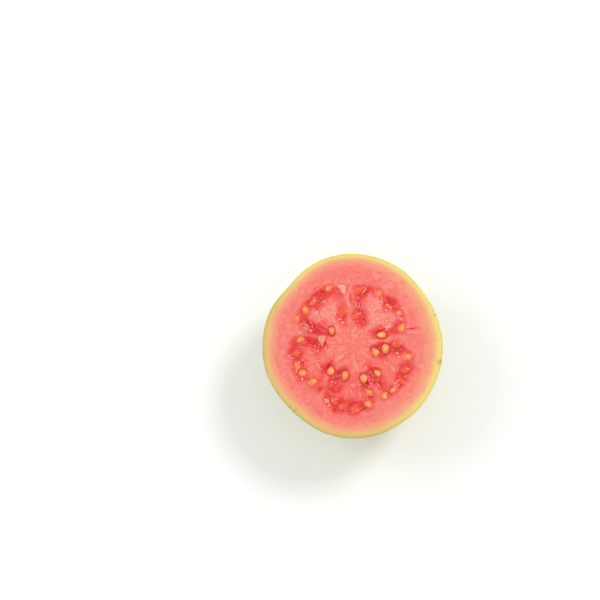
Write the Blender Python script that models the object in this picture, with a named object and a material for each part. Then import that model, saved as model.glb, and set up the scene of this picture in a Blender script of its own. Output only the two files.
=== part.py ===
"""Half a ripe pink guava, cut across its middle, lying on its skin with the cut face up.

The fruit grew in one piece, so it is one solid. Its outside is a full, slightly lumpy dome with a small flat spot
that it rests on, and beside that the shallow dip round the dry stalk scar. Its cut face is flat round the edge, and
has five seed pockets round the middle: arched grooves full of seeds, each round a paler lobe of flesh. The seeds
are small ellipsoids sunk in the grooves and joined to the flesh, and so is the scar.

Metres, +Z up. The origin lies under the middle of the half, on the surface that it rests on.
"""

import math
import random
from collections import namedtuple

import bmesh
import bpy
from mathutils import Matrix, Vector, noise

MM = 0.001

# The half as a whole
FACE_WIDTH = 76 * MM  # across the cut face along X
FACE_LENGTH = 79 * MM  # and along Y
HEIGHT = 39.5 * MM  # from the flat spot to the cut
FLAT_CUT = 0.5 * MM  # how much of the dome's end the flat spot takes away
DOME_POWER = 0.93  # under 1 the dome has fuller shoulders than an ellipsoid
LUMP_SHARE = 0.024  # the broad lumps, as a share of the radius
DENT_SHARE = 0.007  # and the smaller dents
# The fruit's flatter sides: the direction and width of each in degrees, and its depth as a share of the radius
FLAT_SIDES = ((41, 10, 0.010), (138, 13, 0.029), (228, 26, 0.025), (302, 10, 0.009))

# The stalk's end, a little off the dome's lowest point
STALK_TILT = math.radians(19)
STALK_TURN = math.radians(205)
DIP_DEPTH = 1.5 * MM
DIP_WIDTH = 3.9 * MM
SCAR_RADIUS = 2.1 * MM
SCAR_LENGTH = 3.4 * MM
SCAR_STANDS = 0.9 * MM  # above the bottom of the dip

# The seed pockets
Pocket = namedtuple("Pocket", "middle half_width inner outer bare buried")
# middle and half_width are angles in degrees, and inner and outer are shares of the face's radius. bare lists the
# seeds that lie open along the pocket's arch, and buried those under a film of pulp. For each it says how far along
# the arch it is, as a share, how far outside the arch it is, in mm, and the angle that its long axis points at.
POCKETS = (
    Pocket(
        *(130, 27, 0.28, 0.67),
        bare=((0.34, 1.5, 20), (0.62, -0.2, 100), (0.70, 2.4, 80), (1.0, -1.3, 100)),
        buried=((0.09, -0.1, 80), (0.50, -0.4, 40)),
    ),
    Pocket(
        *(52, 32, 0.30, 0.65),
        bare=((0.04, 0.9, 170), (0.22, 0.9, 60), (0.35, -0.5, 20), (0.60, 0.1, 100)),
        buried=((0.46, -2.0, 150), (0.76, 1.8, 10), (0.96, 1.0, 60)),
    ),
    Pocket(
        *(331, 29, 0.26, 0.65),
        bare=(
            *((0.10, -1.9, 150), (0.28, 2.4, 60), (0.33, 0.5, 30)),
            *((0.67, -0.8, 170), (0.92, -0.3, 90), (1.01, -1.0, 120)),
        ),
        buried=((0.44, 0.4, 120), (0.54, -0.8, 20), (0.82, 1.3, 10)),
    ),
    Pocket(
        *(267, 25, 0.32, 0.67),
        bare=((0.0, -1.7, 80), (0.69, 0.2, 160), (0.81, -0.3, 140), (0.95, 0.2, 100)),
        buried=((0.15, 1.2, 40), (0.33, -1.2, 130), (0.45, -0.8, 20), (0.56, 0.1, 30)),
    ),
    Pocket(
        *(199, 28, 0.30, 0.64),
        bare=((0.25, 0.9, 170), (0.50, 0.3, 110), (0.59, -1.0, 20), (0.73, 0.0, 45), (0.94, 1.5, 75)),
        buried=((0.06, 1.0, 70), (0.38, -0.4, 100)),
    ),
)
CORE = Vector((0.1, -0.5)) * MM  # where the middle of the five pockets is on the cut
ARCH_POWER = 0.45  # how square the arch's shoulders are
ARCH_PINCH = 0.25  # how far its feet lean in towards each other
GROOVE_DEPTH = 1.5 * MM
GROOVE_WIDTH = 2.1 * MM
PIT_WIDTH = 2.6 * MM
LOBE_DEPTH = 0.15 * MM  # the lobes lie this far below the cut

# The seeds
SEED_LENGTH = 4.4 * MM
SEED_WIDTH = 3.3 * MM
SEED_THICKNESS = 2.5 * MM
SEED_SIZES = (0.88, 1.08)
SEED_LEAN = 18  # at most, in degrees
BARE_TOP = 0.25 * MM  # how far the top of a bare seed is below the cut
BURIED_TOP = 0.85 * MM
RANDOM_SEED = 7

# How finely the surfaces are divided
TURNS = 80
FACE_RINGS = 19
POCKET_ZONE = 0.76  # the rings are even inside this share of the radius
DOME_RINGS = 20
ARCH_STEPS = 60
MERGE = 1e-6


def signed_power(value, power):
    """value to a power, with its sign kept."""
    return math.copysign(abs(value) ** power, value)


def even_radius(angle):
    """The cut face's radius in this direction without its flatter sides. The pockets are placed by it."""
    mean = (FACE_WIDTH + FACE_LENGTH) / 4
    stretch = (FACE_LENGTH - FACE_WIDTH) / (FACE_LENGTH + FACE_WIDTH)
    return mean * (
        1
        - stretch * math.cos(2 * angle)
        + 0.004 * math.cos(4 * angle)
        - 0.004 * math.cos(3 * angle - 1.2)
        + 0.002 * math.cos(7 * angle + 0.5)
    )


def cut_radius(angle):
    """The cut face's radius in this direction."""
    radius = even_radius(angle)
    for middle, width, depth in FLAT_SIDES:
        away = (math.degrees(angle) - middle + 180) % 360 - 180
        radius *= 1 - depth * math.exp(-((away / width) ** 2))
    return radius


def arch_point(pocket, t):
    """A point of the pocket's arch, for t from 0 at one foot to 1 at the other."""
    sideways = signed_power(-math.cos(math.pi * t), ARCH_POWER)
    outwards = max(math.sin(math.pi * t), 0) ** ARCH_POWER
    sideways *= 1 - ARCH_PINCH * (1 - outwards) ** 2
    angle = math.radians(pocket.middle + pocket.half_width * sideways)
    share = pocket.inner + (pocket.outer - pocket.inner) * outwards
    return Vector((math.cos(angle), math.sin(angle))) * share * even_radius(angle)


def arch(pocket):
    return [arch_point(pocket, i / ARCH_STEPS) for i in range(ARCH_STEPS + 1)]


def beside(points, share, aside):
    """The point this share of the way along a line of points, by length, and this far to its right."""
    steps = [(b - a).length for a, b in zip(points, points[1:])]
    left = share * sum(steps)
    i = 0
    while left > steps[i] and i < len(steps) - 1:
        left -= steps[i]
        i += 1
    forward = (points[i + 1] - points[i]).normalized()
    return points[i] + forward * left + Vector((forward.y, -forward.x)) * aside


def distance_to(points, place):
    """How far a place on the cut is from a line of points."""
    nearest = math.inf
    for a, b in zip(points, points[1:]):
        side = b - a
        share = min(max((place - a).dot(side) / side.length_squared, 0), 1)
        nearest = min(nearest, (place - a - side * share).length)
    return nearest


ARCHES = [arch(pocket) for pocket in POCKETS]
BARE_PLACES = [
    beside(line, share, aside * MM) for pocket, line in zip(POCKETS, ARCHES) for share, aside, degrees in pocket.bare
]


def depth_at(place):
    """How far the cut face's surface is below the cut's plane: the pockets' grooves and the pits that their bare
    seeds lie in, and, inside the grooves, the lobes."""
    place = place - CORE
    groove = max(math.exp(-((distance_to(line, place) / GROOVE_WIDTH) ** 2)) for line in ARCHES)
    pit = max(math.exp(-(((seed - place).length / PIT_WIDTH) ** 2)) for seed in BARE_PLACES)
    groove = max(groove, pit)
    share = place.length / even_radius(math.atan2(place.y, place.x))
    middle = min(max((POCKET_ZONE - share) / 0.06, 0), 1)
    return middle * (LOBE_DEPTH + (GROOVE_DEPTH - LOBE_DEPTH) * groove)


def stalk_direction():
    """From the middle of the cut to the stalk scar."""
    out = math.sin(STALK_TILT)
    return Vector((out * math.cos(STALK_TURN), out * math.sin(STALK_TURN), -math.cos(STALK_TILT)))


def smooth_step(value):
    """0 up to 0, 1 from 1 on, and smooth in between."""
    value = min(max(value, 0), 1)
    return value * value * (3 - 2 * value)


def swelling(direction):
    """What the lumps and the dip at the stalk do to the dome's radius, as a factor. The lumps fade towards the cut
    and towards the dome's end, which stays level for the flat spot."""
    below = smooth_step(-direction.z / 0.45) * smooth_step(math.hypot(direction.x, direction.y) / 0.5)
    lumps = LUMP_SHARE * noise.noise(direction * 1.7 + Vector((5.5, 1.9, 4.4)))
    dents = DENT_SHARE * noise.noise(direction * 4.2 + Vector((0.7, 9.3, 1.8)))
    away = direction.angle(stalk_direction()) * FACE_WIDTH / 2
    dip = DIP_DEPTH / HEIGHT * math.exp(-((away / DIP_WIDTH) ** 2))
    return 1 + below * (lumps + dents) - dip


def dome_point(direction):
    """The skin in a direction from the middle of the cut, in the cut's own frame (z is 0 on the cut)."""
    angle = math.atan2(direction.y, direction.x)
    level = math.hypot(direction.x, direction.y) ** DOME_POWER
    down = max(-direction.z, 0) ** DOME_POWER
    radius = cut_radius(angle) * level
    shape = Vector((radius * math.cos(angle), radius * math.sin(angle), -(HEIGHT + FLAT_CUT) * down))
    return shape * swelling(direction)


def ring_shares():
    """The cut face's rings, from the middle to the edge: even over the pockets, and two wide ones round them."""
    even = [POCKET_ZONE * i / (FACE_RINGS - 2) for i in range(FACE_RINGS - 1)]
    return even + [(POCKET_ZONE + 1) / 2, 1.0]


def half_mesh():
    """The half without its seeds: a profile from the middle of the cut over the edge to the dome's end, turned
    round the axis, and then set to the fruit's own shape."""
    bm = bmesh.new()
    profile = [(share, 0.0) for share in ring_shares()]
    for i in range(1, DOME_RINGS + 1):
        down = math.pi / 2 * i / DOME_RINGS
        profile.append((math.cos(down), -math.sin(down)))
    points = [bm.verts.new((x, 0, z)) for x, z in profile]
    for a, b in zip(points, points[1:]):
        bm.edges.new((a, b))
    bmesh.ops.spin(
        bm,
        geom=bm.verts[:] + bm.edges[:],
        cent=(0, 0, 0),
        axis=(0, 0, 1),
        angle=math.tau,
        steps=TURNS,
        use_merge=True,
    )
    bmesh.ops.remove_doubles(bm, verts=bm.verts, dist=1e-5)
    bmesh.ops.recalc_face_normals(bm, faces=bm.faces)
    for vert in bm.verts:
        if vert.co.z > -1e-4:
            angle = math.atan2(vert.co.y, vert.co.x)
            place = Vector((vert.co.x, vert.co.y)) * cut_radius(angle)
            vert.co = (place.x, place.y, -depth_at(place))
        else:
            vert.co = dome_point(vert.co.normalized())
    bmesh.ops.translate(bm, vec=(0, 0, HEIGHT), verts=bm.verts)
    rest_on_flat_spot(bm)
    return bm


def rest_on_flat_spot(bm):
    """Cuts the end of the dome off level, at z 0."""
    bmesh.ops.bisect_plane(
        bm,
        geom=bm.verts[:] + bm.edges[:] + bm.faces[:],
        dist=MERGE,
        plane_co=(0, 0, 0),
        plane_no=(0, 0, -1),
        clear_outer=True,
    )
    rim = [edge for edge in bm.edges if edge.is_boundary]
    bmesh.ops.contextual_create(bm, geom=rim)


def object_from(bm, name):
    mesh = bpy.data.meshes.new(name)
    bm.to_mesh(mesh)
    bm.free()
    obj = bpy.data.objects.new(name, mesh)
    bpy.context.scene.collection.objects.link(obj)
    return obj


def seed_object(place, degrees, top, rng, number):
    """A seed with its upper side this far below the cut. Its long axis lies nearly level."""
    half_sizes = Vector((SEED_LENGTH, SEED_WIDTH, SEED_THICKNESS)) / 2 * rng.uniform(*SEED_SIZES)
    turn = Matrix.Rotation(math.radians(degrees), 4, "Z")
    lean = Matrix.Rotation(math.radians(rng.uniform(-SEED_LEAN, SEED_LEAN)), 4, "Y")
    centre = Vector((place.x, place.y, HEIGHT - top - half_sizes.z))
    bm = bmesh.new()
    bmesh.ops.create_icosphere(bm, subdivisions=2, radius=1)
    stretch = Matrix.Diagonal((*half_sizes, 1))
    bmesh.ops.transform(bm, matrix=Matrix.Translation(centre) @ turn @ lean @ stretch, verts=bm.verts)
    return object_from(bm, f"seed_{number:02d}")


def seed_objects():
    rng = random.Random(RANDOM_SEED)
    made = []
    for pocket, line in zip(POCKETS, ARCHES):
        for seeds, top in ((pocket.bare, BARE_TOP), (pocket.buried, BURIED_TOP)):
            for share, aside, degrees in seeds:
                place = CORE + beside(line, share, aside * MM)
                made.append(seed_object(place, degrees, top, rng, len(made)))
    return made


def stalk_scar():
    """The dry, round end of the stalk in the bottom of its dip."""
    direction = stalk_direction()
    bottom = dome_point(direction) + Vector((0, 0, HEIGHT))
    bm = bmesh.new()
    bmesh.ops.create_cone(
        bm,
        cap_ends=True,
        segments=20,
        radius1=SCAR_RADIUS,
        radius2=0.8 * SCAR_RADIUS,
        depth=SCAR_LENGTH,
    )
    facing = direction.to_track_quat("Z", "Y").to_matrix().to_4x4()
    middle = bottom + direction * (SCAR_STANDS - SCAR_LENGTH / 2)
    bmesh.ops.transform(bm, matrix=Matrix.Translation(middle) @ facing, verts=bm.verts)
    return object_from(bm, "stalk_scar")


def join(body, pieces):
    """Makes one solid of the body and what grows from it."""
    group = bpy.data.collections.new("grown_on")
    for piece in pieces:
        group.objects.link(piece)
    union = body.modifiers.new("join", "BOOLEAN")
    union.operation = "UNION"
    union.operand_type = "COLLECTION"
    union.collection = group
    union.solver = "EXACT"
    bpy.context.view_layer.update()
    graph = bpy.context.evaluated_depsgraph_get()
    joined = bpy.data.meshes.new_from_object(body.evaluated_get(graph))
    body.modifiers.clear()
    body.data = joined
    for piece in pieces:
        bpy.data.objects.remove(piece)
    bpy.data.collections.remove(group)


def centre_over_origin(obj):
    """Moves the half sideways until its box is centred on the Z axis."""
    xs = [vert.co.x for vert in obj.data.vertices]
    ys = [vert.co.y for vert in obj.data.vertices]
    middle = Vector(((min(xs) + max(xs)) / 2, (min(ys) + max(ys)) / 2, 0))
    obj.data.transform(Matrix.Translation(-middle))


def finish(name, colour, roughness):
    material = bpy.data.materials.new(name)
    material.use_nodes = True
    shader = material.node_tree.nodes["Principled BSDF"]
    shader.inputs["Base Color"].default_value = (*colour, 1)
    shader.inputs["Roughness"].default_value = roughness
    shader.inputs["Metallic"].default_value = 0
    return material


def paint(obj):
    """The cut face is pink, and the dome is the skin's yellow green."""
    obj.data.materials.clear()
    obj.data.materials.append(finish("guava_skin", (0.42, 0.46, 0.05), 0.3))
    obj.data.materials.append(finish("guava_flesh", (0.87, 0.20, 0.15), 0.4))
    for face in obj.data.polygons:
        inside = face.center.z > HEIGHT - 3 * MM and face.normal.z > 0.2
        face.material_index = int(inside)
    obj.data.shade_smooth()
    obj.data.set_sharp_from_angle(angle=math.radians(50))


def main():
    for obj in list(bpy.data.objects):
        bpy.data.objects.remove(obj)
    half = object_from(half_mesh(), "guava_half")
    join(half, [*seed_objects(), stalk_scar()])
    centre_over_origin(half)
    paint(half)


main()
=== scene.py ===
"""Dresses half a pink guava that lies on its skin with the cut face up.

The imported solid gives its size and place. Five finished pieces stand for it: the flesh with its seed pockets,
the thin skin, the bare seeds, the torn fibres of pulp on the cut, and the dry stalk scar under the dome. The
script is laid out as an add-on: the sidebar lists the sizes and colours, and each piece has an operator.
"""

import math
import random
from collections import namedtuple

import bmesh
import bpy
import numpy as np
from bpy.props import FloatProperty, FloatVectorProperty, PointerProperty
from mathutils import Matrix, Vector, noise


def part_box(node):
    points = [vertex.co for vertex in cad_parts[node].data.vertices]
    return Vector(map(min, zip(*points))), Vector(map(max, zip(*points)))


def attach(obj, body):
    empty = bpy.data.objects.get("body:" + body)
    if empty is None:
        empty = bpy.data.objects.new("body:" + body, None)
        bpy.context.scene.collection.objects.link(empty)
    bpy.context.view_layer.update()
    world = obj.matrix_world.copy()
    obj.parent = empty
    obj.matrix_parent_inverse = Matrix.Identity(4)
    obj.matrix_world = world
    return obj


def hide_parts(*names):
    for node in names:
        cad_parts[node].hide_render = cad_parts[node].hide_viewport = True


bl_info = {
    "name": "Guava half",
    "version": (1, 0, 0),
    "blender": (4, 5, 0),
    "location": "View3D > Sidebar > Guava",
    "description": "The flesh, skin, seeds and fibres of half a pink guava",
    "category": "Object",
}

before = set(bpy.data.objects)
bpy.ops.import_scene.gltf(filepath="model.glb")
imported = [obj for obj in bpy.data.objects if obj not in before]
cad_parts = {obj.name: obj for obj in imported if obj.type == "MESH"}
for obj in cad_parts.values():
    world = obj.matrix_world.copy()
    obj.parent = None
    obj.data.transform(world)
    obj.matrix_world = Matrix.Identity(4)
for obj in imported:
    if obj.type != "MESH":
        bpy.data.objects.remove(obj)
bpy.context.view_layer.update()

MM = 0.001
NODE = "guava_half"
BODY = "root"
BAKE_MAP = "OFBake"

# The fruit's form, as the solid has it
LOW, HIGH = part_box(NODE)
HEIGHT = HIGH.z
FACE_WIDTH = 76 * MM
FACE_LENGTH = 79 * MM
MEAN_RADIUS = (FACE_WIDTH + FACE_LENGTH) / 4
STRETCH = (FACE_LENGTH - FACE_WIDTH) / (FACE_LENGTH + FACE_WIDTH)
FLAT_CUT = 0.5 * MM  # how much of the dome's end the flat spot takes away
DOME_POWER = 0.93  # under 1 the dome has fuller shoulders than an ellipsoid
LUMP_SHARE = 0.024  # the broad lumps, as a share of the radius
DENT_SHARE = 0.007  # and the smaller dents
# The flatter sides: the direction and width of each in degrees, and its depth as a share of the radius
FLAT_SIDES = ((41, 10, 0.010), (138, 13, 0.029), (228, 26, 0.025), (302, 10, 0.009))
STALK_TILT = math.radians(19)
STALK_TURN = math.radians(205)
DIP_DEPTH = 1.5 * MM
DIP_WIDTH = 3.9 * MM
SCAR_RADIUS = 2.1 * MM
SCAR_LENGTH = 2.6 * MM
SCAR_SUNK = 1.9 * MM  # how much of its length is under the bottom of the dip

# The seed pockets. middle and half_width are angles in degrees, and inner and outer are shares of the
# face's radius. bare and buried list seeds: how far along the pocket's arch, as a share, how far outside it,
# in mm, and the angle of the long axis. wet lists where the arch is open and wet: how far along it, and how
# much. blush is how much redder, or below 0 paler, the lobe inside the arch is.
Pocket = namedtuple("Pocket", "middle half_width inner outer bare buried wet blush")
POCKETS = (
    Pocket(
        *(130, 27, 0.28, 0.67),
        bare=((0.34, 1.5, 20), (0.62, -0.2, 100), (0.70, 2.4, 80), (1.0, -1.3, 100)),
        buried=((0.09, -0.1, 80), (0.50, -0.4, 40)),
        wet=(
            *((0.05, 0.5), (0.34, 0.5), (0.43, 1.0), (0.52, 0.8)),
            *((0.63, 0.4), (0.75, 0.8), (0.84, 0.9), (0.93, 0.6)),
        ),
        blush=-0.6,
    ),
    Pocket(
        *(52, 32, 0.30, 0.65),
        bare=((0.04, 0.9, 170), (0.22, 0.9, 60), (0.35, -0.5, 20), (0.60, 0.1, 100)),
        buried=((0.46, -2.0, 150), (0.76, 1.8, 10), (0.96, 1.0, 60)),
        wet=(
            *((0.04, 0.7), (0.20, 0.6), (0.36, 0.2), (0.46, 0.9)),
            *((0.62, 0.1), (0.75, 0.6), (0.87, 0.5), (0.97, 1.0)),
        ),
        blush=-0.45,
    ),
    Pocket(
        *(331, 29, 0.26, 0.65),
        bare=(
            *((0.10, -1.9, 150), (0.28, 2.4, 60), (0.33, 0.5, 30)),
            *((0.67, -0.8, 170), (0.92, -0.3, 90), (1.01, -1.0, 120)),
        ),
        buried=((0.44, 0.4, 120), (0.54, -0.8, 20), (0.82, 1.3, 10)),
        wet=(
            *((0.10, 0.9), (0.22, 0.5), (0.33, 0.4), (0.45, 0.6)),
            *((0.56, 0.5), (0.70, 0.2), (0.82, 0.8), (0.95, 1.0)),
        ),
        blush=0.5,
    ),
    Pocket(
        *(267, 25, 0.32, 0.67),
        bare=((0.0, -1.7, 80), (0.69, 0.2, 160), (0.81, -0.3, 140), (0.95, 0.2, 100)),
        buried=((0.15, 1.2, 40), (0.33, -1.2, 130), (0.45, -0.8, 20), (0.56, 0.1, 30)),
        wet=(
            *((0.02, 0.7), (0.14, 0.9), (0.28, 0.5), (0.40, 0.9)),
            *((0.52, 0.9), (0.62, 0.6), (0.75, 0.5), (0.90, 0.7)),
        ),
        blush=0.9,
    ),
    Pocket(
        *(199, 28, 0.30, 0.64),
        bare=((0.25, 0.9, 170), (0.50, 0.3, 110), (0.59, -1.0, 20), (0.73, 0.0, 45), (0.94, 1.5, 75)),
        buried=((0.06, 1.0, 70), (0.38, -0.4, 100)),
        wet=(
            *((0.06, 0.8), (0.17, 0.8), (0.27, 0.6), (0.38, 0.9)),
            *((0.50, 0.7), (0.60, 0.6), (0.75, 0.2), (0.93, 0.9)),
        ),
        blush=0.3,
    ),
)
# More wet pulp beside the arches: the angle and share of the radius, its reach outwards and sideways in mm,
# and how much.
Patch = namedtuple("Patch", "angle share outwards sideways much")
PATCHES = (
    Patch(307, 0.47, 1.6, 2.4, 0.9),
    Patch(239, 0.43, 2.2, 1.5, 1.0),
    Patch(231, 0.57, 2.4, 1.8, 0.6),
    Patch(157, 0.50, 4.6, 1.5, 0.9),
    Patch(126, 0.64, 1.4, 3.2, 0.8),
    Patch(92, 0.53, 3.6, 1.0, 0.5),
    Patch(84, 0.66, 1.2, 2.6, 0.6),
    Patch(22, 0.58, 4.6, 0.7, 0.6),
    Patch(168, 0.52, 2.4, 1.4, 0.7),
    Patch(2, 0.46, 2.4, 1.2, 0.6),
    Patch(352, 0.36, 3.4, 1.4, 0.6),
    Patch(258, 0.69, 1.2, 3.4, 0.6),
    Patch(318, 0.68, 1.0, 3.0, 0.5),
    Patch(216, 0.62, 2.2, 1.2, 0.5),
    Patch(243, 0.41, 1.3, 1.1, 1.7),
    Patch(122, 0.67, 1.0, 1.4, 1.7),
    Patch(155, 0.58, 1.3, 1.0, 1.6),
    Patch(85, 0.37, 1.1, 0.9, 1.5),
    Patch(270, 0.66, 0.8, 1.2, 1.5),
    Patch(150, 0.40, 1.2, 0.8, 1.4),
    Patch(17, 0.69, 2.6, 0.45, 0.9),
)
# Small bruises at the edge of the cut: the direction and width in degrees, how far in they reach in mm, and
# how dark they are.
Bruise = namedtuple("Bruise", "angle width reach dark")
BRUISES = (
    Bruise(349, 2.4, 2.0, 1.0),
    Bruise(20.5, 1.1, 2.2, 0.7),
    Bruise(229, 1.0, 3.0, 0.8),
    Bruise(225, 0.8, 2.2, 0.7),
    Bruise(186, 0.9, 1.4, 0.6),
    Bruise(214, 1.4, 0.8, 0.6),
    Bruise(284, 0.8, 0.8, 0.5),
    Bruise(302, 0.6, 1.2, 0.4),
)
# Pale veins: the angle and share of the radius at both ends, and the width in mm.
Vein = namedtuple("Vein", "start_angle start end_angle end width")
VEINS = (
    Vein(96, 0.11, 62, 0.31, 0.45),
    Vein(66, 0.15, 45, 0.33, 0.40),
    Vein(104, 0.30, 134, 0.26, 0.40),
    Vein(20, 0.10, 12, 0.34, 0.45),
    Vein(150, 0.10, 146, 0.34, 0.40),
    Vein(188, 0.20, 190, 0.50, 0.40),
    Vein(225, 0.08, 221, 0.26, 0.40),
    Vein(272, 0.10, 284, 0.30, 0.45),
    Vein(298, 0.28, 303, 0.66, 0.55),
    Vein(330, 0.10, 327, 0.24, 0.40),
    Vein(96, 0.42, 96, 0.60, 0.45),
    Vein(70, 0.30, 74, 0.46, 0.35),
    Vein(60, 0.34, 58, 0.52, 0.40),
    Vein(344, 0.70, 343, 0.86, 0.25),
    Vein(14, 0.62, 12, 0.76, 0.35),
    Vein(66, 0.80, 55, 0.92, 0.40),
    Vein(130, 0.36, 127, 0.54, 0.45),
    Vein(204, 0.34, 201, 0.54, 0.35),
)
# partly painted light: the pale band is widened towards the lit right side and narrowed towards the shaded left
BAND_TURN = math.radians(15)  # how far clockwise of +X the pale band at the rim is widest
CORE = np.array((0.1, -0.5)) * MM  # where the middle of the five pockets is on the cut
ARCH_POWER = 0.45  # how square the arch's shoulders are
ARCH_PINCH = 0.25  # how far its feet lean in towards each other
ARCH_STEPS = 60
WET_SPREAD = 0.055  # how far each wet place reaches along the arch, as a share of it
POCKET_ZONE = 0.76  # the share of the radius that holds the pockets
# How deep or high the forms on the cut are
GROOVE_DEPTH = 0.90 * MM
PIT_DEPTH = 0.36 * MM
CLING_HEIGHT = 0.30 * MM
AMBER_HEIGHT = 0.35 * MM
LOBE_HEIGHT = 0.22 * MM
FOLD_HEIGHT = 0.20 * MM
OUTER_HEIGHT = 0.07 * MM
FACE_SUNK = 0.05 * MM  # how far the whole face is under the cut's plane

# The torn pulp: the angle and share of the radius where it lies, its length and width in mm, and the angle
# that its narrow end points at. A shred is one piece; a tuft is a few thin ones.
Shred = namedtuple("Shred", "angle share length width heading")
SHREDS = (
    Shred(99.5, 0.620, 5.0, 3.9, 281),
    Shred(170.0, 0.345, 4.6, 3.3, 272),
    Shred(155, 0.585, 2.6, 0.9, 140),
    Shred(160, 0.520, 2.8, 0.8, 170),
    Shred(164, 0.600, 2.2, 0.9, 20),
    Shred(29.5, 0.445, 3.1, 1.5, 200),
    Shred(26, 0.415, 1.8, 0.9, 220),
    Shred(13.5, 0.640, 3.6, 0.8, 190),
    Shred(351, 0.490, 2.0, 1.1, 170),
    Shred(79, 0.600, 4.0, 0.9, 235),
    Shred(73, 0.560, 3.2, 0.8, 240),
    Shred(139, 0.545, 3.6, 1.2, 230),
    Shred(123, 0.590, 2.4, 1.1, 200),
    Shred(199, 0.630, 2.6, 0.9, 240),
)
Tuft = namedtuple("Tuft", "angle share count length width heading")
TUFTS = (
    Tuft(81, 0.440, 7, 1.7, 0.5, 85),
    Tuft(157, 0.580, 6, 2.0, 0.6, 150),
    Tuft(160, 0.520, 6, 1.8, 0.5, 120),
    Tuft(163, 0.580, 5, 1.6, 0.5, 40),
    Tuft(136, 0.500, 4, 1.7, 0.5, 60),
    Tuft(63, 0.860, 6, 1.2, 0.5, 150),
    Tuft(55, 0.890, 4, 1.4, 0.5, 140),
    Tuft(286, 0.440, 2, 1.2, 0.4, 90),
    Tuft(246, 0.550, 3, 1.4, 0.4, 70),
    Tuft(268, 0.710, 3, 1.1, 0.5, 180),
    Tuft(55, 0.420, 3, 1.6, 0.5, 60),
)
SHRED_THICKNESS = 0.16 * MM
STRAND_THICKNESS = 0.10 * MM
BROAD_SHRED = 2  # the width in mm past which a shred lies higher

# The stage
KEY_PLACE = (0.55, 0.45, 0.95)
FILL_PLACE = (-0.7, 0.2, 0.8)
SENSOR_WIDTH = 36  # in mm, as the camera counts it
NEAREST_SEEN = 0.01

# How finely the pieces are divided
TURNS = 560
POCKET_RINGS = 130
EDGE_RINGS = 20
HIDDEN_RINGS = 8
DOME_RINGS = 116
LINING_RINGS = 20
RIM_RINGS = 4
RIM_RUN = 0.1  # the rim's part of the skin's profile
TURN_MERGE = 1e-5
LEAST_RADIUS = 1e-6
RUN_MARGIN = 1e-4
FLESH_OVERLAP = 0.07 * MM  # how far the flesh reaches into the skin
# The map that the looks are baked on has the shown side round its middle, and the hidden one in a corner
SHOWN_MIDDLE = 0.5
HIDDEN_MIDDLE = 0.085


def seen(red, green, blue):
    """A colour given as it is seen on a screen, 0 to 255, in the linear values that materials take."""
    parts = [value / 255 for value in (red, green, blue)]
    return tuple(v / 12.92 if v <= 0.04045 else ((v + 0.055) / 1.055) ** 2.4 for v in parts)


# ---------------------------------------------------------------- The fruit's form


def smooth_step(value):
    """0 up to 0, 1 from 1 on, and smooth in between."""
    value = np.clip(value, 0, 1)
    return value * value * (3 - 2 * value)


def bell(share, power=2):
    """1 where the share is 0, about a third where it is 1 and nothing soon after."""
    return np.exp(-(share**power))


def on_plan(radius, angle):
    """The points of a plane at this distance from its middle, in this direction."""
    return np.stack((radius * np.cos(angle), radius * np.sin(angle)), axis=-1)


def degrees_from(middle, degrees):
    """How far each direction is from the middle one, from -180 to 180 degrees."""
    return (degrees - middle + 180) % 360 - 180


def turned_axes(steps, turn):
    """How far each step goes in the direction turn, and how far to its left."""
    along = steps[:, 0] * math.cos(turn) + steps[:, 1] * math.sin(turn)
    across = steps[:, 1] * math.cos(turn) - steps[:, 0] * math.sin(turn)
    return along, across


def noise_at(points, scale, offset):
    """Smooth noise from -1 to 1 at each point of an array, with this many features to the metre."""
    shift = Vector((offset, offset * 1.7 + 3.1, offset * 0.6 - 5.3))
    return np.array([noise.noise(Vector(point) * scale + shift) for point in points.tolist()])


def drift_at(points, scale, offset, reach):
    """Steps on the cut's plane that vary smoothly, each way up to this reach."""
    return np.column_stack((noise_at(points, scale, offset), noise_at(points, scale, offset + 1))) * reach


def even_radius(angle):
    """The cut face's radius in this direction without its flatter sides. Places on the face go by it."""
    return MEAN_RADIUS * (
        1
        - STRETCH * np.cos(2 * angle)
        + 0.004 * np.cos(4 * angle)
        - 0.004 * np.cos(3 * angle - 1.2)
        + 0.002 * np.cos(7 * angle + 0.5)
    )


def cut_radius(angle):
    """The cut face's radius in this direction."""
    radius = even_radius(angle)
    for middle, width, depth in FLAT_SIDES:
        radius = radius * (1 - depth * bell(degrees_from(middle, np.degrees(angle)) / width))
    return radius


def cut_middle():
    """The middle of the cut face's box, which lies over the origin."""
    angle = np.linspace(0, math.tau, TURNS, endpoint=False)
    edge = np.stack((np.cos(angle), np.sin(angle), 0 * angle), axis=1) * cut_radius(angle)[:, None]
    return (edge.min(0) + edge.max(0)) / 2


def arch(pocket):
    """The line that a pocket's seeds follow, from foot to foot."""
    t = np.linspace(0, 1, ARCH_STEPS + 1)
    outwards = np.maximum(np.sin(math.pi * t), 0) ** ARCH_POWER
    across = -np.cos(math.pi * t)
    across = np.sign(across) * np.abs(across) ** ARCH_POWER * (1 - ARCH_PINCH * (1 - outwards) ** 2)
    angle = np.radians(pocket.middle + pocket.half_width * across)
    return on_plan((pocket.inner + (pocket.outer - pocket.inner) * outwards) * even_radius(angle), angle)


ARCHES = [arch(pocket) for pocket in POCKETS]


def measured(line):
    """The steps from point to point of a line, their lengths, and how far along the line each one starts."""
    steps = np.diff(line, axis=0)
    lengths = np.linalg.norm(steps, axis=1)
    return steps, lengths, np.concatenate(((0,), np.cumsum(lengths)[:-1]))


def beside(line, share, aside):
    """The point this share of the way along a line of points, by length, and this far to its right."""
    steps, lengths, starts = measured(line)
    along = share * lengths.sum()
    i = np.searchsorted(starts, along, side="right") - 1
    forward = steps[i] / lengths[i]
    return line[i] + forward * (along - starts[i]) + np.array((forward[1], -forward[0])) * aside


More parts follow.
